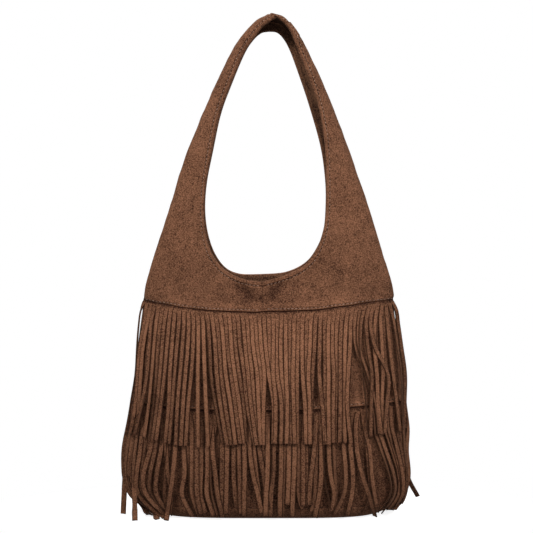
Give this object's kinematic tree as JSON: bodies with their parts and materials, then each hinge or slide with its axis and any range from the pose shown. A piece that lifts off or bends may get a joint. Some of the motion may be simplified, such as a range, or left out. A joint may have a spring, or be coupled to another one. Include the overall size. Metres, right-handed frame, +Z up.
{
  "type": "shoulder bag",
  "caption": "Soft hobo shoulder bag: yoke cut in one with the shoulder strap, body with tiers of hanging fringe front and back, rounded base, snap at the mouth.",
  "frame": {"origin": "centre of the box at the floor that the base rests on", "axes": "+Z up, the front faces -Y, +X runs across the bag to the right as seen from the front"},
  "size_m": [0.3304, 0.1354, 0.571],
  "materials": {
    "suede_outer": "brown nubuck-like suede, matte nap",
    "suede_fringe": "brown suede strands, matte nap, cut edges",
    "suede_facing": "same suede in shade, inside the mouth and strap",
    "lining_cloth": "plain woven lining, dark brown",
    "snap_metal": "plated magnetic snap, soft shine"
  },
  "bodies": {
    "root": {"yoke_front_left": "suede_outer", "yoke_front_right": "suede_outer", "yoke_back_left": "suede_outer", "yoke_back_right": "suede_outer", "body_front_middle": "suede_outer", "body_back_middle": "suede_outer", "body_front_lower": "suede_outer", "body_back_lower": "suede_outer", "base_panel": "suede_outer", "fringe_front_upper": "suede_fringe", "fringe_back_upper": "suede_fringe", "fringe_front_lower": "suede_fringe", "fringe_back_lower": "suede_fringe", "facing_front": "suede_facing", "facing_back": "suede_facing", "lining_front": "lining_cloth", "lining_back": "lining_cloth", "snap_stud": "snap_metal", "snap_socket": "snap_metal", "snap_backing_front": "snap_metal", "snap_backing_back": "snap_metal"}
  },
  "joints": []
}
